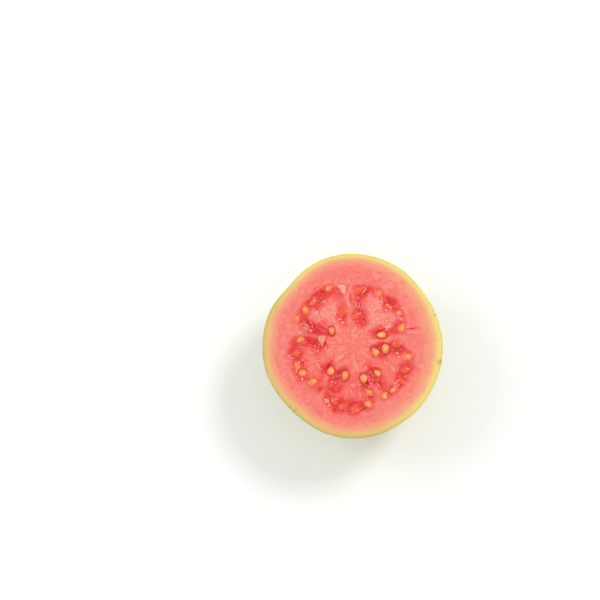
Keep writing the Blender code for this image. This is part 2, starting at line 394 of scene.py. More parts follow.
def nearest(line, places):
    """For each place: its distance from a line of points, how far along the line the nearest point is, as a
    share, and 1 to the line's right or -1 to its left."""
    steps, lengths, starts = measured(line)
    away = places[:, None] - line[None, :-1]
    part = np.clip((away * steps).sum(2) / lengths**2, 0, 1)
    gap = away - part[..., None] * steps
    distance = np.linalg.norm(gap, axis=2)
    best = distance.argmin(1)
    rows = np.arange(len(places))
    along = (starts[best] + part[rows, best] * lengths[best]) / lengths.sum()
    side = np.sign(steps[best, 1] * gap[rows, best, 0] - steps[best, 0] * gap[rows, best, 1])
    return distance[rows, best], along, side


def stalk_direction():
    """From the middle of the cut to the stalk scar."""
    out = math.sin(STALK_TILT)
    return np.array((out * math.cos(STALK_TURN), out * math.sin(STALK_TURN), -math.cos(STALK_TILT)))


def swelling(directions):
    """What the lumps and the dip at the stalk do to the dome's radius, as a factor."""
    level = np.hypot(directions[:, 0], directions[:, 1])
    below = smooth_step(-directions[:, 2] / 0.45) * smooth_step(level / 0.5)
    lumps = [noise.noise(Vector(d) * 1.7 + Vector((5.5, 1.9, 4.4))) for d in directions.tolist()]
    dents = [noise.noise(Vector(d) * 4.2 + Vector((0.7, 9.3, 1.8))) for d in directions.tolist()]
    away = np.arccos(np.clip(directions @ stalk_direction(), -1, 1)) * FACE_WIDTH / 2
    dip = DIP_DEPTH / HEIGHT * bell(away / DIP_WIDTH)
    return 1 + below * (LUMP_SHARE * np.array(lumps) + DENT_SHARE * np.array(dents)) - dip


def dome_points(directions):
    """The skin in each direction from the middle of the cut, where z is 0 on the cut."""
    angle = np.arctan2(directions[:, 1], directions[:, 0])
    radius = cut_radius(angle) * np.hypot(directions[:, 0], directions[:, 1]) ** DOME_POWER
    down = np.maximum(-directions[:, 2], 0) ** DOME_POWER
    points = np.column_stack((on_plan(radius, angle), -(HEIGHT + FLAT_CUT) * down))
    return points * swelling(directions)[:, None]


def inside_of(points, depth):
    """The points moved this far in towards the middle of the cut."""
    distance = np.linalg.norm(points, axis=1)
    return points * (1 - depth / distance)[:, None]


def bruised(angle, depth):
    """How bruised the fruit is in each direction, this far from the edge of the cut, from 0 to 1."""
    dark = np.zeros(len(angle))
    for bruise in BRUISES:
        away = degrees_from(bruise.angle, np.degrees(angle))
        near = bell(away / bruise.width) * bell(depth / bruise.reach / MM)
        dark = np.maximum(dark, bruise.dark * near)
    return dark


def seed_form(pocket_index, seed_index, bare):
    """A seed's place on the cut, its half sizes, its turn, and its random numbers. They start from its own
    indices, so that the pits in the flesh and the seeds in them agree."""
    pocket = POCKETS[pocket_index]
    share, aside, degrees = (pocket.bare if bare else pocket.buried)[seed_index]
    rng = random.Random(100 * pocket_index + 10 * seed_index + bare)
    sizes = bpy.context.scene.guava_sizes
    half = np.array((sizes.seed_length, sizes.seed_width, sizes.seed_thickness)) / 2 * rng.uniform(0.86, 1.1)
    half[1] *= rng.uniform(0.88, 1.06)
    place = beside(ARCHES[pocket_index], share, aside * MM)
    return place, half, math.radians(degrees + rng.uniform(-12, 12)), rng


def seed_forms(bare):
    """Every bare seed's form, or every buried one's."""
    for i, pocket in enumerate(POCKETS):
        for j in range(len(pocket.bare if bare else pocket.buried)):
            yield seed_form(i, j, bare)


def seed_distance(places, form):
    """How far each place is from a seed's middle, counted in the seed's own half sizes."""
    middle, half, turn, _ = form
    along, across = turned_axes(places - middle, turn)
    return np.hypot(along / half[0], across / half[1])


def outer_row(place):
    """0 for a seed near the middle of the cut and 1 for one in the pockets' outer rows."""
    return smooth_step((np.linalg.norm(place) / MEAN_RADIUS - 0.46) / 0.1)


# ---------------------------------------------------------------- Meshes


def mesh_from(bm, name):
    mesh = bpy.data.meshes.new(name)
    bm.to_mesh(mesh)
    bm.free()
    return mesh


def turned_mesh(name, profile):
    """A closed body: the profile's points, each with a radius, a height and how far along the profile it is,
    turned round the Z axis. The last number stays on the mesh as the attribute run."""
    bm = bmesh.new()
    run = bm.verts.layers.float.new("run")
    points = []
    for radius, height, along in profile:
        point = bm.verts.new((radius, 0, height))
        point[run] = along
        points.append(point)
    for a, b in zip(points, points[1:]):
        bm.edges.new((a, b))
    bmesh.ops.spin(
        bm,
        geom=bm.verts[:] + bm.edges[:],
        cent=(0, 0, 0),
        axis=(0, 0, 1),
        angle=math.tau,
        steps=TURNS,
        use_merge=True,
    )
    bmesh.ops.remove_doubles(bm, verts=bm.verts, dist=TURN_MERGE)
    bmesh.ops.recalc_face_normals(bm, faces=bm.faces)
    return mesh_from(bm, name)


def read_points(mesh):
    points = np.zeros(len(mesh.vertices) * 3)
    mesh.vertices.foreach_get("co", points)
    return points.reshape(-1, 3)


def write_points(mesh, points):
    mesh.vertices.foreach_set("co", points.ravel())
    mesh.update()


def read_run(mesh):
    run = np.zeros(len(mesh.vertices))
    mesh.attributes["run"].data.foreach_get("value", run)
    return run


def write_attribute(mesh, name, values):
    attribute = mesh.attributes.new(name, "FLOAT", "POINT")
    attribute.data.foreach_set("value", np.asarray(values, np.float32))


def write_bake_map(mesh, shown, hidden, is_hidden):
    """The map that the looks are baked on. Each corner takes its vertex's place from the shown or the hidden
    plan, by its face. Both plans are given from their own middles."""
    loop_vertex = np.zeros(len(mesh.loops), np.int32)
    mesh.loops.foreach_get("vertex_index", loop_vertex)
    counts = np.zeros(len(mesh.polygons), np.int32)
    mesh.polygons.foreach_get("loop_total", counts)
    face_hidden = np.repeat(is_hidden, counts)
    hidden = HIDDEN_MIDDLE + hidden
    shown = SHOWN_MIDDLE + shown
    uvs = np.where(face_hidden[:, None], hidden[loop_vertex], shown[loop_vertex])
    mesh.uv_layers.new(name=BAKE_MAP).data.foreach_set("uv", uvs.astype(np.float32).ravel())


def faces_past(mesh, run, limit):
    """Whether each face lies past this stretch of the profile."""
    return np.array([min(run[v] for v in face.vertices) >= limit - RUN_MARGIN for face in mesh.polygons])


def add_object(name, data):
    made = bpy.data.objects.new(name, data)
    bpy.context.scene.collection.objects.link(made)
    return made


def show(mesh, name, material):
    """Makes the finished piece: smooth, with its material, riding on the fruit and standing for its solid."""
    mesh.materials.append(material)
    mesh.shade_smooth()
    piece = add_object(name, mesh)
    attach(piece, BODY)
    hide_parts(NODE)


# ---------------------------------------------------------------- The flesh


def pocket_fields(places):
    """What the pockets do at each place of the cut: the open groove, the wet gel in it and the lobe inside,
    each from 0 to 1, and how much redder or paler the lobe is."""
    flat = np.column_stack((places, np.zeros(len(places))))
    places = places + drift_at(flat, 170, 1, 1.5 * MM) + drift_at(flat, 620, 3, 0.55 * MM)
    angle = np.degrees(np.arctan2(places[:, 1], places[:, 0]))
    share = np.linalg.norm(places, axis=1) / even_radius(np.radians(angle))
    groove, gel, lobe, blush = (np.zeros(len(places)) for _ in range(4))
    for pocket, line in zip(POCKETS, ARCHES):
        distance, along, side = nearest(line, places)
        wet = 0.22 + sum(much * bell((along - at) / WET_SPREAD) for at, much in pocket.wet)
        wet = np.minimum(wet, 1)
        width = (0.9 + 0.8 * wet) * np.where(side > 0, 0.85, 1.1) * MM
        groove = np.maximum(groove, wet * bell(distance / width))
        width = (1.9 + 1.5 * wet) * np.where(side > 0, 0.8, 1.1) * MM
        gel = np.maximum(gel, (0.2 + 0.8 * wet) * bell(distance / width))
        outwards = (share - pocket.inner) / (pocket.outer - pocket.inner)
        pinch = 1 - ARCH_PINCH * (1 - np.clip(outwards, 0, 1)) ** 2
        across = degrees_from(pocket.middle, angle) / pocket.half_width / pinch
        power = 1 / ARCH_POWER
        size = (np.abs(across) ** power + np.maximum(outwards, 0) ** power) ** ARCH_POWER
        inside = smooth_step((1 - size) / 0.3) * smooth_step(outwards / 0.3 + 0.6)
        lobe = np.maximum(lobe, inside)
        blush += pocket.blush * inside
    for patch in PATCHES:
        turn = math.radians(patch.angle)
        along, across = turned_axes(places - on_plan(even_radius(turn) * patch.share, turn), turn)
        distance = np.hypot(along / patch.outwards, across / patch.sideways) / MM
        gel = np.maximum(gel, patch.much * bell(distance, 2.4))
    return groove, gel, lobe, blush


def pale_veins(places):
    """How pale the veins make each place, from 0 to 1."""
    pale = np.zeros(len(places))
    part = np.linspace(0, 1, 7)
    for vein in VEINS:
        angle = np.radians(vein.start_angle + (vein.end_angle - vein.start_angle) * part)
        line = on_plan((vein.start + (vein.end - vein.start) * part) * even_radius(angle), angle)
        distance, along, _ = nearest(line, places)
        width = vein.width * MM * (0.45 + np.sin(math.pi * along))
        pale = np.maximum(pale, bell(distance / width))
    return pale


def polar_noise(points, turns, rate, offset):
    """Noise that runs out from the axis as rays: turns sets how many rays there are and rate how fast they
    change outwards, to the metre."""
    radius = np.maximum(np.hypot(points[:, 0], points[:, 1]), LEAST_RADIUS)
    rays = np.column_stack((points[:, 0] / radius * turns, points[:, 1] / radius * turns, radius * rate))
    return noise_at(rays, 1, offset)


FACE_MASKS = ("gel", "lobe", "moat", "amber", "blush", "pale")


def flesh_face(places, rim):
    """The cut face's height over the cut's plane at each place, and the masks that its material reads."""
    flat = np.column_stack((places, np.zeros(len(places))))
    radius = np.linalg.norm(places, axis=1)
    groove, gel, lobe, blush = pocket_fields(places)
    pale = pale_veins(places + drift_at(flat, 400, 16, 0.7 * MM))
    moat, amber, ridge, cling, halo = (np.zeros(len(places)) for _ in range(5))
    for form in seed_forms(bare=True):
        distance = seed_distance(places, form)
        crisp = 1 - 0.75 * outer_row(form[0])
        # each bare seed sits in a moat: a real dip, whose mask also paints shade into it
        moat = np.maximum(moat, crisp * smooth_step((1.5 - distance) / 0.5))
        ridge = np.maximum(ridge, bell((distance - 1.6) / 0.3))
        cling = np.maximum(cling, (1.5 - crisp) * bell((distance - 1.02) / 0.17))
        amber = np.maximum(amber, (1.1 - crisp) * 0.7 * bell(distance / 1.45, 4))
    for form in seed_forms(bare=False):
        distance = seed_distance(places, form)
        amber = np.maximum(amber, bell(distance / 0.92, 3))
        halo = np.maximum(halo, bell((distance - 1.12) / 0.26))
    amber *= np.clip(0.95 + 0.8 * noise_at(flat, 420, 19), 0.55, 1)
    torn = 1 - np.abs(noise_at(flat, 900, 8)) * 2
    rays = polar_noise(flat, 6, 120, 5)
    fans = polar_noise(flat, 30, 160, 6)
    middle = smooth_step((14 * MM - radius) / (9 * MM)) * smooth_step((radius - 2 * MM) / (4 * MM))
    height = -GROOVE_DEPTH * groove * (1 - 0.55 * amber)
    height += LOBE_HEIGHT * lobe - 0.12 * MM
    height += 0.09 * MM * torn * gel
    height -= PIT_DEPTH * moat * (1 - 0.5 * groove)
    height += 0.12 * MM * ridge * (1 - groove)
    height += CLING_HEIGHT * cling * np.clip(0.5 + noise_at(flat, 520, 18), 0, 1)
    height += AMBER_HEIGHT * amber - 0.10 * MM * halo + 0.10 * MM * pale
    height += 0.10 * MM * rays * middle + 0.07 * MM * fans * lobe
    height += FOLD_HEIGHT * lobe * (1 - np.abs(noise_at(flat, 330, 15)) * 3)
    outer = smooth_step((radius / MEAN_RADIUS - 0.70) / 0.08)
    height = height * (1 - outer) + OUTER_HEIGHT * outer
    for scale, offset, relief in ((260, 9, 0.06), (800, 10, 0.05), (1700, 11, 0.03)):
        height += relief * MM * noise_at(flat, scale, offset)
    height *= smooth_step((rim - 0.4 * MM) / (1.2 * MM))
    height -= FACE_SUNK
    # the rings round the buried seeds take the same painted shade
    moat = np.maximum(moat, 0.42 * halo)
    return height, dict(zip(FACE_MASKS, (gel, lobe, moat, amber, blush, pale)))


def flesh_profile():
    """run is the share of the radius on the face, and over 1 how far round the hidden side under the skin."""
    shares = [POCKET_ZONE * i / POCKET_RINGS for i in range(POCKET_RINGS)]
    shares += [POCKET_ZONE + (1 - POCKET_ZONE) * i / EDGE_RINGS for i in range(EDGE_RINGS + 1)]
    profile = [(share, 0, share) for share in shares]
    for i in range(1, HIDDEN_RINGS + 1):
        down = math.pi / 2 * i / HIDDEN_RINGS
        profile.append((math.cos(down), -math.sin(down), 1 + i / HIDDEN_RINGS))
    return profile


def flesh_mesh(sizes):
    mesh = turned_mesh("flesh", flesh_profile())
    nominal, run = read_points(mesh), read_run(mesh)
    angle = np.arctan2(nominal[:, 1], nominal[:, 0])
    on_face = run < 1 + RUN_MARGIN
    inset = sizes.skin_thickness - FLESH_OVERLAP
    radius = np.where(on_face, run, 0) * (cut_radius(angle) - inset)
    places = on_plan(radius, angle)
    rim = cut_radius(angle) - radius
    height, masks = flesh_face(places[on_face] - CORE, rim[on_face])
    points = np.zeros_like(nominal)
    points[on_face] = np.column_stack((places[on_face], height))
    points[~on_face] = inside_of(dome_points(nominal[~on_face]), inset)
    write_points(mesh, points + (0, 0, HEIGHT) - cut_middle())
    # partly painted light and shade: the pale band by the skin is wider towards the lit right side and narrower
    # on the shaded left
    side = 1 + sizes.band_shift_to_light * np.cos(angle + BAND_TURN) + sizes.band_ends * np.cos(2 * angle)
    write_attribute(mesh, "rim", np.where(on_face, rim / MM / side, 0))
    write_attribute(mesh, "bruise", np.where(on_face, bruised(angle, rim), 0))
    for name, values in masks.items():
        everywhere = np.zeros(len(run))
        everywhere[on_face] = values
        write_attribute(mesh, name, everywhere)
    plan = points[:, :2] / FACE_LENGTH
    write_bake_map(mesh, 0.94 * plan, 0.13 * plan, faces_past(mesh, run, 1))
    return mesh


# ---------------------------------------------------------------- The skin


def skin_profile():
    """run goes from 0 at the dome's end to 1 at the cut, across the rim, and to 2 down the inner side."""
    profile = []
    for i in range(DOME_RINGS + 1):
        down = math.pi / 2 * (1 - i / DOME_RINGS)
        profile.append((math.cos(down), -math.sin(down), i / DOME_RINGS))
    for i in range(1, RIM_RINGS):
        across = RIM_RUN * i / RIM_RINGS
        profile.append((1 - across, RIM_RUN / 2, 1 + across))
    inner = 1 - RIM_RUN
    for i in range(LINING_RINGS + 1):
        down = math.pi / 2 * i / LINING_RINGS
        along = 1 + RIM_RUN + inner * i / LINING_RINGS
        profile.append((inner * math.cos(down), -inner * math.sin(down), along))
    return profile


def skin_mesh(sizes):
    mesh = turned_mesh("skin", skin_profile())
    nominal, run = read_points(mesh), read_run(mesh)
    angle = np.arctan2(nominal[:, 1], nominal[:, 0])
    outside = run <= 1
    lining = 1 + RIM_RUN
    down = np.where(outside, 1 - run, np.maximum(run - lining, 0) / (2 - lining)) * math.pi / 2
    directions = np.column_stack((on_plan(np.cos(down), angle), -np.sin(down)))
    relief = np.zeros(len(run))
    for scale, offset, share in ((9, 20, 1), (22, 21, 0.5), (55, 22, 0.35)):
        relief += share * sizes.skin_bumps * noise_at(directions, scale, offset)
    across = np.clip((run - 1) / RIM_RUN, 0, 1)
    inward = np.where(outside, -relief * smooth_step(down / 0.25), 0) + across * sizes.skin_thickness
    points = inside_of(dome_points(directions), inward)
    near_rim = np.abs(run - 1 - RIM_RUN / 2) < 0.6 * RIM_RUN
    points[:, 2] -= np.where(near_rim, sizes.rim_round * (1 - across) ** 3, 0)
    lowest = -HEIGHT + np.where(outside, 0, sizes.skin_thickness)
    points[:, 2] = np.maximum(points[:, 2], lowest)
    write_points(mesh, points + (0, 0, HEIGHT) - cut_middle())
    write_attribute(mesh, "across", across)
    write_attribute(mesh, "down", np.where(outside, down / (math.pi / 2), 0))
    write_attribute(mesh, "bruise", bruised(angle, down * HEIGHT))
    shown = on_plan(0.455 * np.where(outside, run, 1 + 0.2 * (run - 1)), angle)
    write_bake_map(mesh, shown, on_plan(0.07 * (2 - run), angle), faces_past(mesh, run, lining))
    return mesh


# ---------------------------------------------------------------- The seeds, fibres and stalk scar


def random_place(rng, reach):
    return Vector((rng.uniform(0, reach), rng.uniform(0, reach), rng.uniform(0, reach)))


def turn_of(degrees, axis):
    return Matrix.Rotation(math.radians(degrees), 3, axis)


def seeds_mesh(sizes):
    """Every bare seed: egg-shaped, a little flattened, and unevenly rounded."""
    bm = bmesh.new()
    tint = bm.verts.layers.float.new("tint")
    edge = bm.verts.layers.float.new("edge")
    for place, half, turn, rng in seed_forms(bare=True):
        facing = Matrix.Rotation(turn, 3, "Z") @ turn_of(rng.uniform(-16, 16), "Y")
        flip = rng.choice((-1, 1))
        shade = rng.random()
        outer = outer_row(place)
        stand = sizes.seed_stand + rng.uniform(-0.15, 0.2) * MM - 0.2 * MM * outer
        middle = Vector((place[0], place[1], stand - half[2]))
        drift = random_place(rng, 50)
        for vert in bmesh.ops.create_icosphere(bm, subdivisions=4, radius=1)["verts"]:
            co = vert.co.copy()
            uneven = 1 + 0.12 * noise.noise(co * 1.3 + drift) + 0.045 * noise.noise(co * 3.4 + drift)
            taper = 1 - 0.24 * co.x * flip - 0.10 * co.x**2
            flat = math.tanh(2 * co.z) / math.tanh(2)
            shape = Vector((co.x * half[0], co.y * half[1] * taper, flat * half[2] * (1 - 0.1 * co.x * flip)))
            vert[edge] = math.hypot(co.x + 0.12 * flip, co.y) if co.z > 0 else 1
            vert[tint] = 0.6 * shade + 0.4 * outer
            vert.co = facing @ (shape * uneven) + middle
    return finished_mesh(bm, "seeds", CORE)


def finished_mesh(bm, name, middle=(0, 0)):
    """Moves what was modelled round this place of the cut to where the cut is, and makes it a mesh."""
    shift = Vector((*middle, HEIGHT)) - Vector(cut_middle())
    bmesh.ops.translate(bm, vec=shift, verts=bm.verts)
    return mesh_from(bm, name)


def fibres_mesh():
    """Thin, bent, pointed shreds of pulp, with their roots in the flesh."""
    bm = bmesh.new()
    rng = random.Random(41)
    for shred in SHREDS:
        add_shred(bm, rng, shred, SHRED_THICKNESS)
    for tuft in TUFTS:
        for _ in range(tuft.count):
            thin = Shred(
                tuft.angle + rng.gauss(0, 4),
                tuft.share + rng.gauss(0, 0.025),
                tuft.length * rng.uniform(0.6, 1.15),
                tuft.width * rng.uniform(0.6, 1.1),
                tuft.heading + rng.gauss(0, 22),
            )
            add_shred(bm, rng, thin, STRAND_THICKNESS)
    return finished_mesh(bm, "fibres", CORE)


def add_shred(bm, rng, shred, thickness):
    """A flat shred that narrows to a point, with a ragged outline, bent up at its ends."""
    angle = math.radians(shred.angle)
    lean = turn_of(rng.uniform(-7, 3), "Y")
    facing = turn_of(shred.heading, "Z") @ lean @ turn_of(rng.uniform(-16, 16), "X")
    bend = rng.uniform(0.02, 0.16) * shred.length * MM / 2
    lift = thickness * 0.6 + 0.07 * shred.width * MM * (shred.width > BROAD_SHRED)
    middle = Vector((*on_plan(even_radius(angle) * shred.share, angle), lift))
    drift = random_place(rng, 90)
    sway = rng.uniform(-0.16, 0.16) * max(shred.length - 1.3 * shred.width, 0) * MM
    for vert in bmesh.ops.create_icosphere(bm, subdivisions=4, radius=1)["verts"]:
        x, y, z = vert.co
        ragged = 1 + 0.24 * noise.noise(vert.co * 1.3 + drift) + 0.20 * noise.noise(vert.co * 3.6 + drift)
        square = max(1 - x * x, 0.02) ** 0.45
        across = y / square * shred.width * (1 - 0.48 * (x + 1)) ** 0.9 * ragged
        folds = (0.08 + 0.06 * shred.width) * MM * noise.noise(vert.co * 1.8 + drift)
        across = across * 0.6 * MM + sway * x * x
        point = Vector((x * shred.length * ragged / 2 * MM, across, z * thickness + folds))
        point.z += bend * (x * x - 0.3)
        vert.co = facing @ point + middle


def stalk_mesh():
    """The dry stub of the stalk: a low cracked disc that stands in the dip."""
    bm = bmesh.new()
    bmesh.ops.create_circle(bm, cap_ends=True, segments=48, radius=SCAR_RADIUS)
    top = bmesh.ops.extrude_face_region(bm, geom=bm.faces[:])["geom"]
    raised = [part for part in top if isinstance(part, bmesh.types.BMVert)]
    bmesh.ops.translate(bm, vec=(0, 0, SCAR_LENGTH), verts=raised)
    cap = [part for part in top if isinstance(part, bmesh.types.BMFace)]
    for inset in (0.25, 0.3, 0.35, 0.35, 0.35):
        bmesh.ops.inset_region(bm, faces=cap, thickness=inset * MM, depth=0, use_even_offset=True)
    bmesh.ops.poke(bm, faces=cap)
    bmesh.ops.recalc_face_normals(bm, faces=bm.faces)
    sides = [edge for edge in bm.edges if abs(edge.verts[0].co.z - edge.verts[1].co.z) > MM]
    bmesh.ops.subdivide_edges(bm, edges=sides, cuts=5)
    for vert in bm.verts:
        radius = math.hypot(vert.co.x, vert.co.y)
        angle = math.atan2(vert.co.y, vert.co.x)
        ragged = 1 + 0.07 * math.sin(5 * angle + 1) + 0.05 * noise.noise(vert.co * 1500)
        vert.co.x *= ragged
        vert.co.y *= ragged
        if vert.co.z > SCAR_LENGTH - 0.1 * MM:
            hollow = 0.35 * MM * bell(radius / MM / 0.9) + 0.1 * MM * (radius / MM / 2) ** 4
            vert.co.z += 0.22 * MM * noise.noise(vert.co * 1900) - hollow
    direction = stalk_direction()
    foot = dome_points(direction[None])[0]
    facing = Vector(direction).to_track_quat("Z", "Y").to_matrix().to_4x4()
    middle = Vector(foot) - Vector(direction) * SCAR_SUNK
    bmesh.ops.transform(bm, matrix=Matrix.Translation(middle) @ facing, verts=bm.verts)
    return finished_mesh(bm, "stalk_scar")


# ---------------------------------------------------------------- Shaders


def arithmetic(operation, swapped=False):
    """The method that adds a Math node for an operator, or for its reflected form."""

    def method(self, other):
        return self.graph.maths(operation, *((other, self) if swapped else (self, other)))

    return method


class Socket:
    """A node's output. Arithmetic on it adds Math nodes."""

    def __init__(self, graph, output):
        self.graph = graph
        self.output = output

    __add__ = arithmetic("ADD")
    __radd__ = arithmetic("ADD", swapped=True)
    __sub__ = arithmetic("SUBTRACT")
    __rsub__ = arithmetic("SUBTRACT", swapped=True)
    __mul__ = arithmetic("MULTIPLY")
    __rmul__ = arithmetic("MULTIPLY", swapped=True)
    __truediv__ = arithmetic("DIVIDE")


class Graph:
    """A material's nodes. Its colour starts as one and is painted over layer by layer."""

    def __init__(self, name, colour=None):
        self.colour = colour
        self.material = bpy.data.materials.new(name)
        self.material.use_nodes = True
        self.tree = self.material.node_tree
        self.tree.nodes.clear()

    def node(self, kind, settings, sockets, output=0):
        """Adds a node with these settings and these values or links, and returns one of its outputs."""
        made = self.tree.nodes.new(kind)
        for name, value in settings.items():
            if name == "stops":
                self.set_stops(made.color_ramp, value)
            else:
                setattr(made, name, value)
        for name, value in sockets.items():
            self.feed(made.inputs[name], value)
        return Socket(self, made.outputs[output] if made.outputs else None)

    def set_stops(self, ramp, stops):
        while len(ramp.elements) < len(stops):
            ramp.elements.new(0.5)
        for element, (position, colour) in zip(ramp.elements, stops):
            element.position = position
            element.color = (*colour, 1)

    def feed(self, socket, value):
        if isinstance(value, Socket):
            self.tree.links.new(value.output, socket)
        elif socket.type == "RGBA":
            socket.default_value = (*value[:3], 1)
        else:
            socket.default_value = value

    def place(self):
        return self.node("ShaderNodeTexCoord", {}, {}, "Object")

    def attribute(self, name):
        return self.node("ShaderNodeAttribute", {"attribute_name": name}, {}, "Fac")

    def noise(self, where, scale, detail=2.0, roughness=0.5):
        sockets = {"Vector": where, "Scale": scale, "Detail": detail, "Roughness": roughness}
        return self.node("ShaderNodeTexNoise", {}, sockets)

    def cells(self, where, scale, output="Distance"):
        return self.node("ShaderNodeTexVoronoi", {}, {"Vector": where, "Scale": scale}, output)

    def maths(self, operation, *values):
        return self.node("ShaderNodeMath", {"operation": operation}, dict(enumerate(values)))

    def vectors(self, operation, *values, output=0):
        return self.node("ShaderNodeVectorMath", {"operation": operation}, dict(enumerate(values)), output)

    def paint(self, much, colour):
        """Lays this much of another colour over the colour so far."""
        sockets = {0: much, 6: self.colour, 7: colour}
        self.colour = self.node("ShaderNodeMix", {"data_type": "RGBA"}, sockets, 2)

    def step(self, value, low, high):
        """0 up to low, 1 from high on, and smooth in between. The other way round where low is over high."""
        settings = {"interpolation_type": "SMOOTHSTEP"}
        return self.node("ShaderNodeMapRange", settings, {"Value": value, "From Min": low, "From Max": high})

    def crease(self, value, middle, width):
        """1 where the value passes the middle, and 0 this far from it."""
        return self.step(self.maths("ABSOLUTE", value - middle), width, 0.0)

    def least(self, a, b):
        return self.maths("MINIMUM", a, b)

    def stretched(self, where, x, y, z):
        return self.vectors("MULTIPLY", where, (x, y, z))

    def rays(self, where, turns, rate):
        """Coordinates in which noise runs out from the Z axis as rays, or round it where rate is larger."""
        level = self.stretched(where, 1, 1, 0)
        radius = self.vectors("LENGTH", level, output="Value")
        around = self.stretched(self.vectors("NORMALIZE", level), turns, turns, 0)
        along = self.node("ShaderNodeCombineXYZ", {}, {"Z": radius * rate})
        return self.vectors("ADD", around, along)

    def greener_shaded_side(self, where):
        """1 on the side away from the key light, towards -X and -Y, where the rim is greener and painted shade
        falls, and 0 on the other.
        """
        across = self.vectors("DOT_PRODUCT", where, (-0.77, -0.64, 0), output="Value")
        return self.step(across / MEAN_RADIUS, -0.25, 0.55)

    def bump(self, height, distance, strength):
        sockets = {"Height": height, "Distance": distance, "Strength": strength}
        return self.node("ShaderNodeBump", {}, sockets)

    def finish(self, **sockets):
        """Adds the surface shader with the painted colour. Underscores in the names stand for spaces."""
        named = {name.replace("_", " "): value for name, value in sockets.items()}
        shader = self.node("ShaderNodeBsdfPrincipled", {}, {"Base Color": self.colour, **named})
        self.node("ShaderNodeOutputMaterial", {}, {"Surface": shader})
        return self.material


